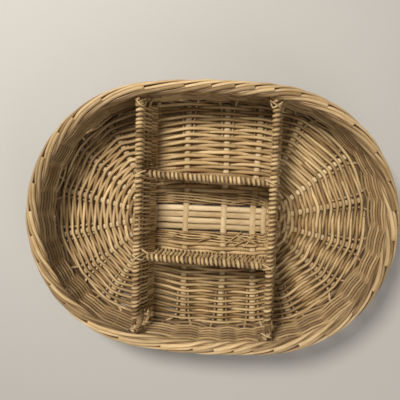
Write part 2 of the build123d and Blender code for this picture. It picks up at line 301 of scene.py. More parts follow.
class Bundle:
    """Many willow strands in one mesh, each a tube with its own tone and its own strip of texture."""

    def __init__(self, name, slot, nodes, sides=6, finish=None):
        self.name = name
        self.slot = slot
        self.nodes = nodes
        self.sides = sides
        self.finish = finish or slot
        self.strands = []

    def add(self, points, radius, facing, flat=1.0, taper=(1.0, 1.0), closed=False, ends=0.35):
        """One strand, with a random tone. facing is where its section's short side turns to."""
        points = np.asarray(points, float)
        count = len(points)
        radius = np.broadcast_to(radius, count) * np.linspace(*taper, count)
        facing = np.broadcast_to(np.asarray(facing, float), (count, 3))
        tone = random.uniform(0, 1)
        self.strands.append(Strand(points, radius, facing, tone, flat, closed, ends))

    def rings(self, strand):
        """The strand's vertices, ring by ring, the distance along it of each ring, and its two tips."""
        points, radius = strand.points, strand.radius
        if strand.closed:
            along = unit(np.roll(points, -1, 0) - np.roll(points, 1, 0))
        else:
            along = unit(np.gradient(points, axis=0))
        normal = unit(strand.facing - (strand.facing * along).sum(1, keepdims=True) * along)
        across = np.cross(along, normal)
        gone = distances_along(points)
        angles = (np.arange(self.sides) + 0.5) * 2 * pi / self.sides
        ring = (normal[:, None] * np.cos(angles)[None, :, None] * strand.flat
                + across[:, None] * np.sin(angles)[None, :, None])
        vertices = points[:, None] + ring * radius[:, None, None]
        if strand.closed:
            return vertices, gone, None
        start = points[0] - along[0] * radius[0] * strand.ends
        end = points[-1] + along[-1] * radius[-1] * strand.ends
        return vertices, gone, (start, end)

    def build(self, material):
        """Make the mesh: every strand's rings, tips, tone, and two texture maps.

        OFBake lays the strands out in rows on one square sheet. grain counts millimetres along a
        strand and the share of the way round it.
        """
        sides = self.sides
        made = [self.rings(strand) for strand in self.strands]
        circumference = [2 * pi * strand.radius.max() for strand in self.strands]
        sheet = Sheet(sum(tall * gone[-1] for tall, (_, gone, _) in zip(circumference, made)))
        vertices, faces, sizes, bake, grain, tones = [], [], [], [], [], []
        base = 0
        wheel = np.arange(sides)
        for strand, tall, (rings, gone, caps) in zip(self.strands, circumference, made):
            count = len(rings)
            vertices.append(rings.reshape(-1, 3))
            tones.append(np.full(count * sides, strand.tone))
            spans = count if strand.closed else count - 1
            first = np.arange(spans)
            second = (first + 1) % count
            back_to_start = np.linalg.norm(strand.points[0] - strand.points[-1])
            steps = np.diff(gone, append=gone[-1] + back_to_start)[:spans]
            quads = np.stack([
                base + first[:, None] * sides + wheel,
                base + first[:, None] * sides + (wheel + 1) % sides,
                base + second[:, None] * sides + (wheel + 1) % sides,
                base + second[:, None] * sides + wheel,
            ], -1).reshape(-1, 4)
            faces.append(quads.ravel())
            sizes.append(np.full(len(quads), 4))
            starts_u, starts_v = sheet.lay(steps, tall)
            low = starts_v[:, None] + wheel * tall / sides
            high = starts_v[:, None] + (wheel + 1) * tall / sides
            left = np.repeat(starts_u[:, None], sides, 1)
            right = left + steps[:, None]
            corners = np.stack([left, low, left, high, right, high, right, low], -1)
            bake.append(corners.reshape(-1, 2) / sheet.side)
            shift = random.uniform(0, 50)
            near = np.repeat((gone[:spans] + shift)[:, None], sides, 1)
            far = near + steps[:, None]
            lower = np.broadcast_to(wheel / sides, (spans, sides))
            upper = np.broadcast_to((wheel + 1) / sides, (spans, sides))
            grain.append(np.stack([near, lower, near, upper, far, upper, far, lower], -1).reshape(-1, 2))
            base += count * sides
            if caps is not None:
                first_ring = base - count * sides + wheel
                last_ring = base - sides + wheel
                for point, ring, turn in ((caps[0], first_ring, -1), (caps[1], last_ring, 1)):
                    vertices.append(point[None])
                    tones.append(np.full(1, strand.tone))
                    corners = np.stack([ring, np.roll(ring, -1), np.full(sides, base)], -1)
                    faces.append((corners if turn > 0 else corners[:, ::-1]).ravel())
                    sizes.append(np.full(sides, 3))
                    spot = np.array([min(sheet.u, sheet.side - sheet.gap), sheet.v])
                    bake.append(np.broadcast_to(spot / sheet.side, (3 * sides, 2)))
                    grain.append(np.broadcast_to([gone[-1] + shift, 0.5], (3 * sides, 2)))
                    base += 1
        scale = 1 / max((sheet.v + max(circumference) + sheet.gap) / sheet.side, 1)
        maps = {"OFBake": np.concatenate(bake) * scale, "grain": np.concatenate(grain)}
        shape = [np.concatenate(part) for part in (vertices, faces, sizes, tones)]
        mesh = strand_mesh(self.name, *shape, maps)
        mesh.materials.append(material)
        piece = put_in_scene(self.name, mesh)
        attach(piece, "root")
        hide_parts(*self.nodes)


# ---- Material ----
VECTOR = "ShaderNodeVectorMath"
STRAND_SHIFT = 37.0  # how far apart in the noise the strands of tone 0 and tone 1 lie


class Shading:
    """Short ways to add shader nodes to a material and to link them."""

    def __init__(self, material):
        self.nodes = material.node_tree.nodes
        self.links = material.node_tree.links

    def node(self, kind, **settings):
        """A node. Each setting names one of its sockets or one of its properties."""
        made = self.nodes.new(kind)
        for key, value in settings.items():
            if key in made.inputs.keys():
                made.inputs[key].default_value = value
            else:
                setattr(made, key, value)
        return made

    def feed(self, socket, value):
        """Give a socket a plain value, or a link from another node's output."""
        if hasattr(value, "is_linked"):
            self.links.new(value, socket)
        else:
            socket.default_value = value

    def ramp(self, source, *stops):
        """Colours by a value from 0 to 1. Each stop is a place and a colour."""
        made = self.node("ShaderNodeValToRGB")
        elements = made.color_ramp.elements
        while len(elements) < len(stops):
            elements.new(0.5)
        for element, (place, colour) in zip(elements, stops):
            element.position = place
            element.color = (*colour, 1)
        self.feed(made.inputs["Fac"], source)
        return made.outputs["Color"]

    def darken(self, factor, colour, shade):
        """A colour multiplied by a shade, as far as the factor says."""
        made = self.node("ShaderNodeMix", data_type="RGBA", blend_type="MULTIPLY")
        for number, value in ((0, factor), (6, colour), (7, shade)):
            self.feed(made.inputs[number], value)
        return made.outputs[2]

    def math(self, operation, *values, kind="ShaderNodeMath"):
        """The result of a math node."""
        made = self.node(kind, operation=operation)
        for socket, value in zip(made.inputs, values):
            self.feed(socket, value)
        return made.outputs[0]

    def noise(self, place, stretch, scale, detail=3.0):
        """Noise in the strand's own coordinates: stretch is (along, around, from strand to strand)."""
        made = self.node("ShaderNodeTexNoise", Scale=scale, Detail=detail)
        self.feed(made.inputs["Vector"], self.math("MULTIPLY", place, stretch, kind=VECTOR))
        return made.outputs["Fac"]


def willow(name, dark, light, fibre=1.0, gloss=0.5, grime=0.5, flank_shade=0.85):
    """Peeled willow: long fibres, blotches, small dark eyes, a dull satin skin and painted shade on each
    strand's flanks.

    dark and light are the colours of the darkest and the palest strand. fibre and grime are how strongly the
    fibres and the eyes show, the last setting how strongly the painted shade on each strand's flanks shows,
    and a higher gloss is less rough.
    """
    material = bpy.data.materials.new(name)
    material.use_nodes = True
    shader = material.node_tree.nodes["Principled BSDF"]
    shading = Shading(material)
    grain = shading.node("ShaderNodeUVMap", uv_map="grain").outputs["UV"]
    tone = shading.node("ShaderNodeAttribute", attribute_name="tone").outputs["Fac"]
    place = shading.math("MULTIPLY_ADD", tone, (0, 0, STRAND_SHIFT), grain, kind=VECTOR)
    drift = shading.noise(place, (0.02, 0.4, 1.0), 1.0)
    fibres = shading.noise(place, (0.06, 5.0, 1.0), 1.6, 6.0)
    eyes = shading.noise(place, (0.25, 1.6, 1.0), 1.0, 1.0)
    around = shading.node("ShaderNodeSeparateXYZ")
    shading.feed(around.inputs[0], grain)
    angle = shading.math("MULTIPLY", around.outputs["Y"], 2 * pi)
    frontal = shading.math("ABSOLUTE", shading.math("COSINE", angle))  # 1 on the face, 0 on the flanks

    white = (1.0, 1.0, 1.0)
    middle = [(low + high) / 2 for low, high in zip(dark, light)]
    colour = shading.ramp(tone, (0.0, dark), (0.45, middle), (1.0, light))
    honey = shading.ramp(drift, (0.3, (0.72, 0.62, 0.46)), (0.5, white), (0.72, (1.1, 1.07, 1.0)))
    lines = shading.ramp(fibres, (0.3, (0.72, 0.66, 0.56)), (0.55, white))
    spots = shading.ramp(eyes, (0.22, (0.42, 0.3, 0.2)), (0.3, white))
    # painted shade: each strand darkens towards its flanks, standing in for the shade between neighbouring
    # strands
    painted_flank_shade = shading.ramp(frontal, (0.0, (0.2, 0.13, 0.08)), (0.68, white))
    for factor, shade in ((1.0, honey), (0.7 * fibre, lines), (grime, spots), (flank_shade, painted_flank_shade)):
        colour = shading.darken(factor, colour, shade)
    shading.feed(shader.inputs["Base Color"], colour)

    roughness = {"To Min": 0.62 - 0.25 * gloss, "To Max": 0.82 - 0.2 * gloss}
    rough = shading.node("ShaderNodeMapRange", **roughness)
    shading.feed(rough.inputs["Value"], fibres)
    shading.feed(shader.inputs["Roughness"], rough.outputs[0])
    shading.feed(shader.inputs["Sheen Weight"], 0.08)
    shading.feed(shader.inputs["Specular IOR Level"], 0.35)
    bump = shading.node("ShaderNodeBump", Strength=0.35, Distance=0.00025)
    shading.feed(bump.inputs["Height"], fibres)
    shading.feed(shader.inputs["Normal"], bump.outputs[0])
    return material


# ---- The base's sticks and where everything crosses them ----
SLATH_LEFT = CROSS_STICKS[0][0] - CROSS_STICK_SIZE[0] / 2
SLATH_RIGHT = CROSS_STICKS[-1][0] + CROSS_STICK_SIZE[0] / 2
SLATH_Y = (pairing_low[1] + pairing_high[1]) / 2
SLATH_HALF = 2 * LONG_STICK_PITCH + SLATH_MARGIN
EDGE_INSET = INSET_FOOT_INNER + 1.5


def long_stick_points():
    """Each long stick: end, bend, bend, end."""
    sticks = []
    left, right = SLATH_LEFT - FAN_CLEARANCE, SLATH_RIGHT + FAN_CLEARANCE
    middle = (len(LONG_STICK_FAN) - 1) / 2
    for number, fan in enumerate(LONG_STICK_FAN):
        y = SLATH_Y + (number - middle) * LONG_STICK_PITCH
        angle = radians(fan)
        run_right = reach(right, y, angle, EDGE_INSET)
        run_left = reach(left, y, pi - angle, EDGE_INSET)
        sticks.append(np.array([
            (left - run_left * cos(angle), y + run_left * sin(angle)),
            (left, y),
            (right, y),
            (right + run_right * cos(angle), y + run_right * sin(angle)),
        ]))
    return sticks


def cross_stick_points():
    """Each cross stick: front end, bend, bend, back end."""
    sticks = []
    for x, lean in CROSS_STICKS:
        points = []
        for side in (-1, 1):
            knee = (x, SLATH_Y + side * SLATH_HALF)
            angle = radians(side * (90 + lean))
            run = reach(*knee, angle, EDGE_INSET)
            end = (x + run * cos(angle), knee[1] + run * sin(angle))
            points += [end, knee] if side < 0 else [knee, end]
        sticks.append(np.array(points))
    return sticks


LONG_STICKS = long_stick_points()
CROSS_STICKS_PLAN = cross_stick_points()


def spoke_lines():
    """The 18 stick ends, each from the slath's edge to the base's edge, anticlockwise from +X."""
    spokes = []
    for stick in LONG_STICKS:
        for end, bend, edge in ((stick[3], stick[2], SLATH_RIGHT + 1), (stick[0], stick[1], SLATH_LEFT - 1)):
            spokes.append(np.array([(edge, bend[1]), bend, end]))
    for stick in CROSS_STICKS_PLAN:
        for end, knee in ((stick[0], stick[1]), (stick[3], stick[2])):
            spokes.append(np.array([knee, (knee + end) / 2, end]))
    return sorted(spokes, key=lambda spoke: atan2(spoke[2][1], spoke[2][0]) % (2 * pi))


SPOKES = spoke_lines()
ROUND_FROM = 0.7  # the share of the way out where the rows begin to follow the oval
SPOKE_LENGTHS = np.array([distances_along(spoke)[-1] for spoke in SPOKES])


def along_spoke(spoke, share):
    """A point at a share of the way out along a spoke."""
    gone = distances_along(spoke)
    gone = gone / gone[-1]
    return np.array([np.interp(share, gone, spoke[:, 0]), np.interp(share, gone, spoke[:, 1])])


def round_the_spokes(share):
    """A closed row, straight from stick to stick, with the turn of its weave, pi for each stick, and
    the room between its neighbours, as a share of the mean.

    The outermost rows also bend round the stakes, so they follow the oval.
    """
    nodes = np.array([along_spoke(spoke, share) for spoke in SPOKES])
    legs = np.linalg.norm(np.roll(nodes, -1, 0) - nodes, axis=1)
    gone = np.concatenate([[0], np.cumsum(legs)])
    points = resample(nodes, STRAND_STEP, closed=True)
    places = np.arange(len(points)) * gone[-1] / len(points)
    turn = np.interp(places, gone, pi * np.arange(len(nodes) + 1))
    points = smooth(points, 5, closed=True)
    node_depths = np.array([depth(*node) for node in nodes])
    wanted = np.interp(places, gone, np.append(node_depths, node_depths[0]))
    here = np.array([depth(*point) for point in points])
    rounding = np.clip((share - ROUND_FROM) / (1 - ROUND_FROM), 0, 1)
    rooms = np.append(SPOKE_LENGTHS, SPOKE_LENGTHS[0]) / SPOKE_LENGTHS.mean()
    opening = (here - wanted) * 2 * rounding / ((1 - ROUND_FROM) * SPOKE_LENGTHS.mean())
    room = np.interp(places, gone, rooms) + opening
    return points + outward_normals(points) * ((here - wanted) * rounding**2)[:, None], turn, room


def make_sticks():
    """The slath's sticks, a little uneven in width and line."""
    sticks = Bundle("base_long_sticks_willow", "sticks", ["base_long_sticks"], sides=12)
    for plan in LONG_STICKS:
        points = smooth(resample(plan, STICK_STEP), 12)
        gone = np.arange(len(points)) * STICK_STEP
        height = STICK_Z + wander(gone, 130, 0.15)
        line = np.column_stack([points[:, 0], points[:, 1] + wander(gone, 160, 0.35), height])
        width = LONG_STICK_SIZE[0] / 2 * (1 + wander(gone, 90, 0.035))
        sticks.add(line, width, UP, flat=LONG_STICK_SIZE[1] / LONG_STICK_SIZE[0], ends=0.1)
    cross = Bundle("base_cross_sticks_willow", "sticks", ["base_cross_sticks"], sides=12)
    for plan in CROSS_STICKS_PLAN:
        points = smooth(resample(plan, STICK_STEP), 20)
        gone = np.arange(len(points)) * STICK_STEP
        height = np.full(len(points), STICK_Z)
        line = np.column_stack([points[:, 0] + wander(gone, 150, 0.5), points[:, 1], height])
        width = CROSS_STICK_SIZE[0] / 2 * (1 + wander(gone, 80, 0.04))
        cross.add(line, width, UP, flat=CROSS_STICK_SIZE[1] / CROSS_STICK_SIZE[0], ends=0.1)
    return sticks, cross


SWING_ROUND = 0.4  # how round a weaver's bends are: 1 is a sine, 0 a zigzag
SWING_POINT = 0.985  # how pointed the zigzag's corners are, at most 1
UNDER_SPREAD = 0.3  # how much less deep and how much wider a weaver lies where it passes under a stick


def swing_of(turn):
    """From 1 to -1 and back over a turn of 2 pi: straight from stick to stick, with a rounded bend."""
    zigzag = np.arcsin(SWING_POINT * np.cos(turn)) / np.arcsin(SWING_POINT)
    return SWING_ROUND * np.cos(turn) + (1 - SWING_ROUND) * zigzag


PIECE_OVERLAP = 3  # how many rings a piece runs on past the start of the next


def cut_up(count, pieces):
    """Cut a closed row of count rings at random places: the ring numbers of each piece."""
    cuts = np.sort(random.integers(0, count, pieces))
    for number, cut in enumerate(cuts):
        length = (cuts[(number + 1) % pieces] - cut - 1) % count + 1
        yield (cut + np.arange(length + PIECE_OVERLAP)) % count


def weave_row(bundle, share, radius, parity, lift, twist=0.0, pieces=1, flat=1.0):
    """One row of the base, which goes over every second stick. twist moves it aside on the way."""
    plan, turn, room = round_the_spokes(share)
    turn = turn + pi * parity
    tangent = unit(np.roll(plan, -1, 0) - np.roll(plan, 1, 0))
    outward = np.column_stack([tangent[:, 1], -tangent[:, 0]])
    plan = plan + outward * (twist * np.sin(turn))[:, None]
    gone = distances_along(plan)
    plan = plan + outward * wander(gone, 47, 0.2)[:, None]
    swing = swing_of(turn)
    under = np.maximum(-swing, 0)
    z = STICK_Z + lift * (swing + UNDER_SPREAD * under) + wander(gone, 23, 0.1)
    spread = room * (1 + UNDER_SPREAD * under)
    line = np.column_stack([plan, z])
    for index in cut_up(len(line), pieces):
        thick = radius * spread[index] * random.uniform(0.94, 1.06)
        bundle.add(line[index], thick, UP, taper=(1.06, 0.92), flat=flat)


PAIRING_ROWS = 4
PAIRING_PITCH = 3.5
PAIRING_RADIUS = 1.25
PAIRING_START = 2.2  # from the slath's edge to the first row
PAIRING_TWIST = 1.1
LOOSE_ENDS = (  # x, y from the slath's middle, heading in degrees, length
    (22, -32, 38, 26), (34, -34, 24, 28), (38, -22, -20, 24), (46, -35, 50, 20), (12, -24, -14, 30),
    (50, -21, -42, 18), (-46, -23, 12, 26), (-14, -31, 16, 24), (28, 21, 8, 34), (-20, 24, -10, 22),
)
ROW_PITCH = (5.0, 3.3)  # at the two shares of the way out below
ROW_SHARES = (0.15, 1.0)
ROWS_PAST_EDGE = 1.0
ROW_GAP = 0.6  # between the pairing and the first row
WEAVER_FILL = 0.58  # a weaver's radius, as a share of the rows' pitch
WEAVER_FLAT = 0.66
SPOKE_LENGTH = SPOKE_LENGTHS.mean()


def make_pairing():
    """Fine twisted pairs round the slath, and a few loose ends lying across it."""
    rows = Bundle("base_pairing_strands", "base_weavers", ["base_pairing"])
    lift = CROSS_STICK_SIZE[1] / 2 + PAIRING_RADIUS * 0.85
    for row in range(PAIRING_ROWS):
        share = (PAIRING_START + row * PAIRING_PITCH) / SPOKE_LENGTH
        for parity in (0, 1):
            weave_row(rows, share, PAIRING_RADIUS, parity, lift, twist=PAIRING_TWIST)
    for x, past, angle, length in LOOSE_ENDS:
        start = np.array([x, SLATH_Y + past, BASE_TOP - 2.4])
        heading = np.array([cos(radians(angle)), sin(radians(angle)), 0.07])
        line = start + heading * np.linspace(0, length, 12)[:, None]
        line[:, 1] += wander(line[:, 0], 60, 0.8)
        rows.add(line, PAIRING_RADIUS * 0.9, UP, taper=(1.0, 0.6))
    return rows


def make_base_weave():
    """Single weavers from the pairing to the base's edge, closer together on the way out."""
    rows = Bundle("base_randing", "base_weavers", ["base_weave"])
    place = PAIRING_START + PAIRING_ROWS * PAIRING_PITCH + ROW_GAP
    row = 0
    while place < SPOKE_LENGTH + ROWS_PAST_EDGE:
        share = place / SPOKE_LENGTH
        pitch = np.interp(share, ROW_SHARES, ROW_PITCH)
        radius = pitch * WEAVER_FILL
        lift = STICK_Z - radius * WEAVER_FLAT - 0.4
        weave_row(rows, share, radius, row % 2, lift, pieces=2, flat=WEAVER_FLAT)
        place += pitch
        row += 1
    return rows


# ---- Stakes and wall ----
STAKE_RADIUS = 1.7
STAKE_IN_BASE = 48.0
STAKE_BEND = 9.0  # from the wall's middle in to where a stake starts to turn up
STAKE_ASIDE = (6.2, 8.2)  # from a stick's middle to a stake, at the stake's start and at its bend


def stake_places():
    """Each stake's stick end, side and share round the wall, evenly spread between the sticks."""
    hits = []
    for spoke in SPOKES:
        outward = unit(spoke[2] - spoke[1])
        run = reach(*spoke[2], atan2(outward[1], outward[0]), WALL_FOOT.inset)
        hit = spoke[2] + outward * run
        hits.append((float(WALL_FOOT.share_of(*hit)), hit, outward))
    hits.sort(key=lambda hit: hit[0])
    places = []
    for number, (share, hit, outward) in enumerate(hits):
        before = (share - hits[number - 1][0]) % 1
        after = (hits[(number + 1) % len(hits)][0] - share) % 1
        places.append((share - before / 4, hit, outward, -1))
        places.append((share + after / 4, hit, outward, 1))
    return places


STAKES = stake_places()
STAKE_SHARES = np.array([stake[0] for stake in STAKES])


def make_stakes():
    """The 36 stakes, from beside the sticks in the base up into the border."""
    stakes = Bundle("side_stakes_willow", "stakes", ["side_stakes"])
    for share, hit, outward, side in STAKES:
        across = np.array([-outward[1], outward[0]]) * side
        start = hit - outward * STAKE_IN_BASE + across * STAKE_ASIDE[0]
        edge = hit - outward * STAKE_BEND + across * STAKE_ASIDE[1]
        foot, _ = wall_point(share, STICK_Z + 3.0)
        head, _ = wall_point(share, BORDER_BOTTOM + 3.0)
        points = [(*start, STICK_Z), (*edge, STICK_Z), tuple(foot), tuple(head)]
        line = smooth(resample(points, STRAND_STEP), 10)
        stakes.add(line, STAKE_RADIUS * random.uniform(0.9, 1.08), (0.3, 0.2, 1), taper=(1.05, 0.95))
    return stakes


def round_the_wall():
    """Shares round the wall, and the stake count as a running number there."""
    count = int(WALL_FOOT.length / WALL_STEP)
    shares = np.arange(count) / count
    known = np.concatenate([STAKE_SHARES - 1, STAKE_SHARES, STAKE_SHARES + 1])
    numbers = np.arange(len(known)) - len(STAKE_SHARES)
    order = np.argsort(known)
    return shares, np.interp(shares, known[order], numbers[order].astype(float))


WALL_SHARES, WALL_TURNS = round_the_wall()


def add_wall_strand(bundle, z, out, radius, pieces):
    """One row round the wall, in pieces."""
    points, normal = wall_point(WALL_SHARES, z, out)
    for index in cut_up(len(points), pieces):
        thick = radius * random.uniform(0.9, 1.1)
        bundle.add(points[index], thick, normal[index], taper=(1.08, 0.85))


WALL_RADIUS = 1.66
WALL_PITCH = 3.35
WALL_SWING = 1.9  # how far a row stands in front of or behind the wall's middle at a stake
WALE_RADIUS = 1.85
WALE_PITCH = 3.4
FOOT_PACKING = ((-2.4, 3.4, 2.4), (-1.4, 8.2, 2.2), (1.0, 4.0, 2.4))  # out, up and radius


def make_wall():
    """Single weavers in front of and behind the stakes, from the waling up into the border."""
    rows = Bundle("wall_randing", "wall_weavers", ["wall_weave"])
    distances = WALL_SHARES * WALL_FOOT.length
    z = UPSETT_TOP + 0.5
    row = 0
    while z < BORDER_BOTTOM + 1.5:
        out = WALL_SWING * swing_of(pi * (WALL_TURNS + row))
        slow = wander(distances, WALL_FOOT.length / 7, 0.25)
        quick = wander(distances, WALL_FOOT.length / 43, 0.12)
        add_wall_strand(rows, z + slow + quick, out, WALL_RADIUS, 4)
        z += WALL_PITCH
        row += 1
    return rows


def make_upsett():
    """Three-rod waling: each strand goes outside two stakes and inside one."""
    rows = Bundle("upsett_wale", "wall_weavers", ["upsett_waling"])
    distances = WALL_SHARES * WALL_FOOT.length
    inside = STAKE_RADIUS + WALE_RADIUS * 0.9
    z = WALE_RADIUS * 1.2 + 0.3
    row = 0
    while z < UPSETT_TOP - 0.5:
        out = inside * (0.33 - 1.33 * np.cos(2 * pi * (WALL_TURNS + row) / 3))
        add_wall_strand(rows, z + wander(distances, WALL_FOOT.length / 9, 0.15), out, WALE_RADIUS, 2)
        z += WALE_PITCH
        row += 1
    return rows


def make_foot_packing():
    """Short rods laid in the corner between the base's edge and the wall's foot, in the darkest willow as
    painted shade in that corner.
    """
    packing = Bundle("foot_packing", "wall_weavers", ["upsett_waling"], 8, "deep_shade_willow")
    for out, z, radius in FOOT_PACKING:
        points, normal = wall_point(WALL_SHARES, z, out)
        packing.add(points, radius, normal, closed=True)
    return packing


# ---- Border ----
PAIR_RADII = (2.6, 1.9)  # the blunt-ended rod of a pair and the one that runs on outside it
BORDER_CORE = ((0.0, 0.0, 3.2), (-2.9, -1.4, 2.4), (2.9, -1.4, 2.4))  # out, up and radius
BORDER_ROD_RINGS = 46
BORDER_ROD_SOFTEN = 4  # how many rings each way the turn is evened out over
BORDER_CORE_RINGS = 499
# A rod's course: how many stakes along, how far round the border's section in degrees (0 is the outer
# side, 90 the top and 180 the inner side), and how far it stands out past its usual place.
CUT_ROD_STEPS = (-0.7, 0.0, 0.6, 1.1)
CUT_ROD_END = 1.75
CUT_ROD_TURNS = (240, 190, 138, 106, 74)
CUT_ROD_RISE = (-1.2, -0.4, 0, 0, 0.1)
LONG_ROD_STEPS = (0.4, 0.72, 0.95, 1.3, 1.75, 2.4, 3.1, 3.9)
LONG_ROD_TURNS = (112, 95, 80, 65, 45, 14, -24, -70)
LONG_ROD_RISE = (-3.0, -1.9, 0, 0.3, 0.1, 0.2, 0, -0.5)


def border_point(place, out, z):
    """A point of the border. place counts stakes anticlockwise; out and z are from the border's middle."""
    whole = np.floor(place).astype(int)
    low = STAKE_SHARES[whole % len(STAKE_SHARES)]
    high = STAKE_SHARES[(whole + 1) % len(STAKE_SHARES)]
    share = low + ((high - low) % 1) * (place - whole)
    plan, normal = WALL_FOOT.at(share)
    middle = WALL_FOOT.inset - BORDER_WIDTH / 2
    plan = plan + normal * (middle + out)[:, None]
    return np.column_stack([plan, (RIM_Z + BORDER_BOTTOM) / 2 + z]), np.column_stack([normal, 0 * z])


def border_rod(bundle, number, steps, turns, radius, rise, taper, ends):
    """One rod of the border: where it lies round the border's section, at steps (in stakes) along it."""
    along = np.linspace(steps[0], steps[-1], BORDER_ROD_RINGS)
    turn = np.radians(np.interp(along, steps, turns))
    window = 2 * BORDER_ROD_SOFTEN + 1
    turn = np.convolve(np.pad(turn, BORDER_ROD_SOFTEN, "edge"), np.ones(window) / window, "valid")
    lifted = np.interp(along, steps, rise)
    across = BORDER_WIDTH / 2 - radius + lifted
    tall = (RIM_Z - BORDER_BOTTOM) / 2 - radius + lifted
    wobble = 1 + 0.04 * np.sin(along * 2.3 + number * 1.7)
    out = across * np.cos(turn) * wobble
    z = tall * np.sin(turn) * wobble
    points, normal = border_point(number - along, out, z)
    facing = normal * np.cos(turn)[:, None] + np.array([0, 0, 1.0]) * np.sin(turn)[:, None]
    bundle.add(points, radius * random.uniform(0.93, 1.06), facing, taper=taper, ends=ends)


def make_border():
    """A pair of rods for each stake. Both rise inside the wall and cross the rim on a slant.

    The thicker one is cut off on top; the other runs on beside it and down the outside.
    """
    rods = Bundle("border_rods", "border_rods", ["border"], sides=8)
    thick, thin = PAIR_RADII
    for number in range(len(STAKE_SHARES)):
        cut = CUT_ROD_END + random.uniform(-0.08, 0.08)
        steps = (*CUT_ROD_STEPS, cut)
        border_rod(rods, number, steps, CUT_ROD_TURNS, thick, CUT_ROD_RISE, (1.0, 0.96), 0.05)
        border_rod(rods, number, LONG_ROD_STEPS, LONG_ROD_TURNS, thin, LONG_ROD_RISE, (1.0, 0.9), 0.2)
    return rods


def make_border_core():
    """What lies inside the border: the stakes' butts, running round as one rope, in the darkest willow as
    painted shade inside the border.
    """
    core = Bundle("border_core", "border_rods", ["border"], 8, "deep_shade_willow")
    around = np.linspace(0, len(STAKE_SHARES), BORDER_CORE_RINGS, endpoint=False)
    for out, z, radius in BORDER_CORE:
        points, normal = border_point(around, np.full(len(around), out), np.full(len(around), z))
        core.add(points, radius, normal, closed=True)
    return core


# ---- Dividers ----
RAIL_RADIUS = 2.1
ROD_RADIUS = 2.0
WEFT_RADIUS = 1.45
WEFT_LOOP = WEFT_RADIUS * 0.85  # from a rail's or a rod's surface to the middle of a weft round it
WEFT_PITCH = 5.0
WEFT_SPREAD = 1.3  # how far along a weft goes, as a share of the pitch
WRAP_PITCH = WEFT_PITCH * 1.1
WRAP_RADIUS = WEFT_RADIUS * 1.4
ARCH_LEAN = 0.12  # how far a weft moves along, either way, while it goes over the rail
BARE_END = 12.0
ROD_GRIP = 2.5  # how far a rod runs into the wall
ROD_BENDS = {"left": (-4.5, 5.0), "right": (3.5, 5.0)}
ROD_BEND_RUN = 16.0  # how far past its start a bend takes to reach its full size
ROD_BEND_START = 4.0  # how far inside the panel it starts
RAIL_PAST = 7.6  # from the wrap on a cross divider's rail to the rail's end


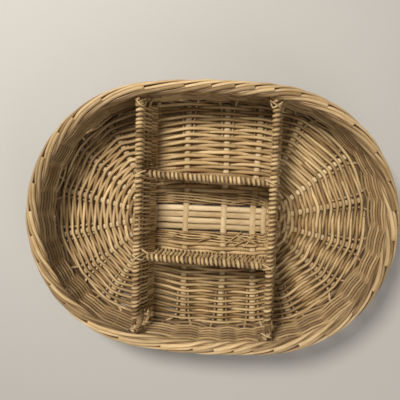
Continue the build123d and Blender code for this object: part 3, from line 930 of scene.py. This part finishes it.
def make_divider(name, origin, angle, rail_span, span, rod_span, panel_span, bends):
    """A divider along a line, in three bundles: its rail, its rods and its wefts.

    Each weft climbs the rods, goes over the rail and comes down again, and a shorter one that stops
    under the rail fills the room beside it.

    bends are how far aside the bare rod ends stand, front or left first.
    """
    rail_z = RAIL_Z[name]
    low, high = box_mm(f"{name}_divider_rods")
    bottom_z = low[2] + ROD_RADIUS
    middle_z = high[2] - ROD_RADIUS
    direction = np.array([cos(angle), sin(angle), 0])
    side = np.array([-sin(angle), cos(angle), 0])
    base = np.array([*origin, 0.0])

    def place(along, out, z):
        """Points from their distance along the divider, aside from it and above the ground."""
        along, out, z = np.broadcast_arrays(along, out, z)
        leaning = np.maximum(rail_z - z, 0)[..., None] * np.array([DIVIDER_LEAN, 0, 0])
        upright = z[..., None] * np.array([0, 0, 1.0])
        return base + along[..., None] * direction + out[..., None] * side + upright + leaning

    # the rail is in the darkest willow: painted shade where it shows between the wefts round it
    rail = Bundle(f"{name}_divider_rail_rod", "divider_rods", [f"{name}_divider_rail"], 10, "deep_shade_willow")
    along = np.arange(rail_span[0], rail_span[1] + 0.1, 3.0)
    drift = wander(along, 170, 0.5)
    rail.add(place(along, drift, rail_z + wander(along, 140, 0.3)), RAIL_RADIUS, UP, ends=0.2)
    rods = Bundle(f"{name}_divider_rods_willow", "divider_rods", [f"{name}_divider_rods"], sides=10)
    for z in (bottom_z, middle_z):
        along = np.arange(rod_span[0], rod_span[1] + 0.1, 2.0)
        drift = wander(along, 150, 0.4)
        for end, bend in zip(panel_span, bends):
            past = np.maximum((along - end) * np.sign(end) + ROD_BEND_START, 0)
            drift = drift - bend * (past / ROD_BEND_RUN) ** 2
        rods.add(place(along, drift, z), ROD_RADIUS, UP, ends=0.2)
    wefts = Bundle(f"{name}_divider_wefts", "divider_weavers", [f"{name}_divider_weave"])

    def add_weft(line, radius):
        wefts.add(line, radius, np.cross(np.gradient(line, axis=0), direction))

    rail_out = RAIL_RADIUS + WEFT_LOOP
    rod_out = ROD_RADIUS + WEFT_LOOP
    climb = np.array([  # share of the way along, aside and up
        (0.0, 0, bottom_z - rod_out),
        (0.06, rod_out, bottom_z),
        (0.15, 0, (bottom_z + middle_z) / 2),
        (0.22, -rod_out, middle_z),
        (0.3, 0, (middle_z + rail_z) / 2),
    ])
    turns = np.linspace(0, pi, 9)
    arch_share = 0.5 - ARCH_LEAN * np.cos(turns)
    arch = np.column_stack([arch_share, rail_out * np.cos(turns), rail_z + rail_out * np.sin(turns)])
    descent = [(1 - share, -out, z) for share, out, z in climb[::-1]]
    knots = np.array([*climb, *arch, *descent])
    place_now = panel_span[0] + WEFT_PITCH
    while place_now < panel_span[1] - WEFT_PITCH * 0.5:
        pitch = WEFT_PITCH * random.uniform(0.8, 1.25)
        thick = WEFT_RADIUS * random.uniform(0.85, 1.12)
        line = place(place_now + knots[:, 0] * pitch * WEFT_SPREAD, knots[:, 1], knots[:, 2])
        line = smooth(resample(line, FINE_STEP), 3)
        rise = (line[:, 2] - bottom_z) / (rail_z - bottom_z)
        fat = np.interp(rise, (0, 0.8, 1.0), (1.08, 1.12, 1.4))
        add_weft(line, thick * fat)
        short = place(place_now + (0.5 + climb[:, 0]) * pitch, -climb[:, 1], climb[:, 2])
        add_weft(smooth(resample(short, FINE_STEP), 3), thick)
        place_now += pitch
    for end, inward in ((span[0], 1), (span[1], -1)):
        gap = abs((panel_span[0] if inward > 0 else panel_span[1]) - end)
        for wrap in range(int(gap / WRAP_PITCH)):
            turns = np.linspace(0, 2 * pi, 22)
            along = end + inward * (1.5 + (wrap + turns / (2 * pi)) * WRAP_PITCH)
            line = place(along, rail_out * np.sin(turns), rail_z + rail_out * np.cos(turns))
            add_weft(line, WRAP_RADIUS)
    return [rail, rods, wefts]


def divider_lines():
    """What make_divider needs of each divider, the long ones first."""
    lines = []
    for name in ("left", "right"):
        low, high = box_mm(f"{name}_divider_rail")
        x = (low[0] + high[0]) / 2
        rods_low, rods_high = box_mm(f"{name}_divider_rods")
        span = (low[1], high[1])
        rods = (rods_low[1], rods_high[1])
        inner = (rods[0] + ROD_GRIP + BARE_END, rods[1] - ROD_GRIP - BARE_END)
        lines.append((name, (x, 0), pi / 2, span, span, rods, inner, ROD_BENDS[name]))
    for name, skew in CROSS_SKEW.items():
        low, high = box_mm(f"{name}_divider_rail")
        middle = (low[0] + high[0]) / 2
        y = (low[1] + high[1]) / 2
        rail = (low[0] - middle, high[0] - middle)
        span = (rail[0] + RAIL_PAST, rail[1] - RAIL_PAST)
        under = (RAIL_Z["left"] - RAIL_Z[name]) * DIVIDER_LEAN - middle
        panel = (lines[0][1][0] + under + DIVIDER_FACE, lines[1][1][0] + under - DIVIDER_FACE)
        lines.append((name, (middle, y), radians(skew), rail, span, panel, panel, (0, 0)))
    return lines


# ---- Ties ----
TIE_RADIUS = 1.0
TIE_OVER_RAIL = RAIL_RADIUS + 2 * WEFT_LOOP + TIE_RADIUS * 0.8  # above the rail's middle
STRAY_RADIUS = 1.6
# The stray end's course, from where the front divider meets the left one.
STRAY_END = ((18.0, 2.0, -4.0), (12.0, 6.5, 0.5), (4.5, 12.0, 1.5))


def add_tie(ties, points, amount, passes):
    """A tie through the points, each moved by up to amount every way, rounded in so many passes."""
    moved = np.array(points, float) + random.uniform(-amount, amount, (len(points), 3))
    ties.add(smooth(resample(moved, FINE_STEP), passes), TIE_RADIUS, UP, flat=0.7)


def make_wall_lashings():
    """Two crossed ties at each end of both long dividers' rails."""
    ties = Bundle("wall_lashing_ties", "ties", ["wall_lashings"], sides=6)
    for name in ("left", "right"):
        low, high = box_mm(f"{name}_divider_rail")
        x = (low[0] + high[0]) / 2
        top = RAIL_Z[name] + TIE_OVER_RAIL
        for end, inward in ((low[1], 1), (high[1], -1)):
            for lean in (-1, 1):
                points = [
                    (x - lean * 8.5, end - inward * 5.0, top - 16),
                    (x - lean * 6.2, end + inward * 1.5, top - 7),
                    (x - lean * 3.2, end + inward * 4.5, top - 0.6),
                    (x + lean * 1.0, end + inward * 6.5, top + 0.5 * (lean + 1)),
                    (x + lean * 4.6, end + inward * 9.0, top - 2.6),
                    (x + lean * 5.6, end + inward * 7.0, top - 8),
                    (x + lean * 7.5, end - inward * 4.0, top - 17),
                ]
                add_tie(ties, points, 1.3, 6)
    return ties


def make_crossing_ties(lines):
    """Two ties where each cross divider's rail meets a long one, and one stray end."""
    ties = Bundle("crossing_tie_strands", "ties", ["crossing_ties"], sides=6)
    rail_top = RAIL_Z["left"] + TIE_OVER_RAIL
    left_x, right_x = lines[0][1][0], lines[1][1][0]
    for name, origin, angle, *_ in lines[2:]:
        for x, inward in ((left_x, 1), (right_x, -1)):
            y = origin[1] + (x - origin[0]) * tan(angle)
            low = RAIL_Z[name]
            for lean in (-1, 1):
                points = [
                    (x - inward * 5.5, y - lean * 1.0, low - 3.5),
                    (x - inward * 5.2, y - lean * 2.6, low + 3.0),
                    (x - inward * 2.4, y - lean * 2.0, rail_top - 0.6),
                    (x + inward * 0.5, y, rail_top + 0.4 * (lean + 1)),
                    (x + inward * 3.4, y + lean * 1.8, rail_top - 1.4),
                    (x + inward * 7.0, y + lean * 2.6, low + 4.3),
                    (x + inward * 8.5, y + lean * 3.6, low + 0.5),
                    (x + inward * 8.0, y + lean * 1.0, low - 3.5),
                ]
                add_tie(ties, points, 1.0, 4)
    corner = np.array([left_x, lines[3][1][1], RAIL_Z["front_cross"]])
    stray = [corner + offset for offset in STRAY_END]
    ties.add(smooth(resample(stray, FINE_STEP), 4), STRAY_RADIUS, UP, taper=(1.0, 0.75))
    return ties


# ---- Camera, light and floor ----
CAMERA_PLACE = (0.0130, 0.0510, 0.5064)
CAMERA_AIM = (-0.0134, 0.0183, 0.0)
CAMERA_ROLL = 2.2
CAMERA_LENS = 34.56
CAMERA_SENSOR = 36.0
FLOOR_HALF = 3.0
FLOOR_DROP = 0.0002  # how far the floor lies under the basket


def make_camera():
    """The camera, turned by CAMERA_ROLL degrees about its own line of sight."""
    data = bpy.data.cameras.new("camera")
    data.lens = CAMERA_LENS
    data.sensor_width = CAMERA_SENSOR
    camera = put_in_scene("camera", data)
    place = Vector(CAMERA_PLACE)
    back = (place - Vector(CAMERA_AIM)).normalized()
    turned = Vector((cos(radians(CAMERA_ROLL)), sin(radians(CAMERA_ROLL)), 0))
    right = (turned - back * turned.dot(back)).normalized()
    up = back.cross(right)
    camera.matrix_world = Matrix.Translation(place) @ Matrix((right, up, back)).transposed().to_4x4()
    bpy.context.scene.camera = camera


def make_light(name, place, size, power, colour):
    """A round lamp aimed at the basket."""
    data = bpy.data.lights.new(name, "AREA")
    data.shape = "DISK"
    data.size = size
    data.energy = power
    data.color = colour
    lamp = put_in_scene(name, data)
    lamp.location = place
    lamp.rotation_euler = (-Vector(place)).to_track_quat("-Z", "Y").to_euler()


def make_studio():
    """The soft surrounding light, two lamps and a pale floor."""
    world = bpy.data.worlds.new("studio")
    bpy.context.scene.world = world
    world.use_nodes = True
    background = world.node_tree.nodes["Background"]
    background.inputs["Color"].default_value = (0.97, 0.96, 0.95, 1)
    background.inputs["Strength"].default_value = 0.30
    make_light("key", (-0.42, 0.55, 1.05), 0.36, 16.5, (1.0, 0.97, 0.92))
    make_light("fill", (0.7, -1.1, 0.75), 1.0, 7, (1.0, 0.98, 0.95))
    mesh = bpy.data.meshes.new("floor")
    low = cad_box[0].z - FLOOR_DROP
    corners = [(x * FLOOR_HALF, y * FLOOR_HALF, low) for x, y in ((-1, -1), (1, -1), (1, 1), (-1, 1))]
    mesh.from_pydata(corners, [], [(0, 1, 2, 3)])
    floor = put_in_scene("floor", mesh)
    material = bpy.data.materials.new("pale_floor")
    material.use_nodes = True
    shader = material.node_tree.nodes["Principled BSDF"]
    shader.inputs["Base Color"].default_value = (0.46, 0.44, 0.405, 1)
    shader.inputs["Roughness"].default_value = 0.8
    mesh.materials.append(material)


# ---- Everything ----
def make_basket():
    """Every bundle of strands, each in its own finish. The darkest willow is painted shade for what lies
    deep.
    """
    finishes = {
        "sticks": willow("stick_willow", (0.56, 0.41, 0.22), (0.78, 0.61, 0.365), fibre=0.7, flank_shade=0.6),
        "base_weavers": willow("base_weaver_willow", (0.29, 0.17, 0.063), (0.74, 0.535, 0.27), flank_shade=0.95),
        # painted shade: the wall weavers are a darker copy of the base weavers' willow, darkened for the
        # walls' shade
        "wall_weavers": willow("wall_weaver_shaded_willow", (0.20, 0.115, 0.042), (0.54, 0.37, 0.175), flank_shade=0.95),
        "border_rods": willow(
            "border_willow", (0.23, 0.14, 0.056), (0.66, 0.475, 0.25), gloss=0.6, flank_shade=0.95),
        "divider_weavers": willow(
            "divider_weft_willow", (0.28, 0.17, 0.066), (0.66, 0.475, 0.235), flank_shade=0.97),
        "divider_rods": willow("divider_rod_willow", (0.30, 0.185, 0.075), (0.50, 0.345, 0.165)),
        "ties": willow("tie_willow", (0.36, 0.235, 0.10), (0.68, 0.50, 0.265)),
        # painted shade: the darkest willow, for strands that lie deep in the weave
        "deep_shade_willow": willow("deep_shade_willow", (0.10, 0.056, 0.021), (0.18, 0.11, 0.045), grime=0.8),
        "stakes": willow("stake_willow", (0.34, 0.235, 0.11), (0.58, 0.43, 0.235), flank_shade=0.6),
    }
    bundles = [*make_sticks(), make_pairing(), make_base_weave(), make_stakes(), make_wall(), make_upsett(),
               make_foot_packing(), make_border(), make_border_core()]
    lines = divider_lines()
    for line in lines:
        bundles += make_divider(*line)
    bundles += [make_wall_lashings(), make_crossing_ties(lines)]
    for bundle in bundles:
        bundle.build(finishes[bundle.finish])


make_camera()
make_basket()
make_studio()
bpy.context.scene.view_settings.view_transform = "Standard"
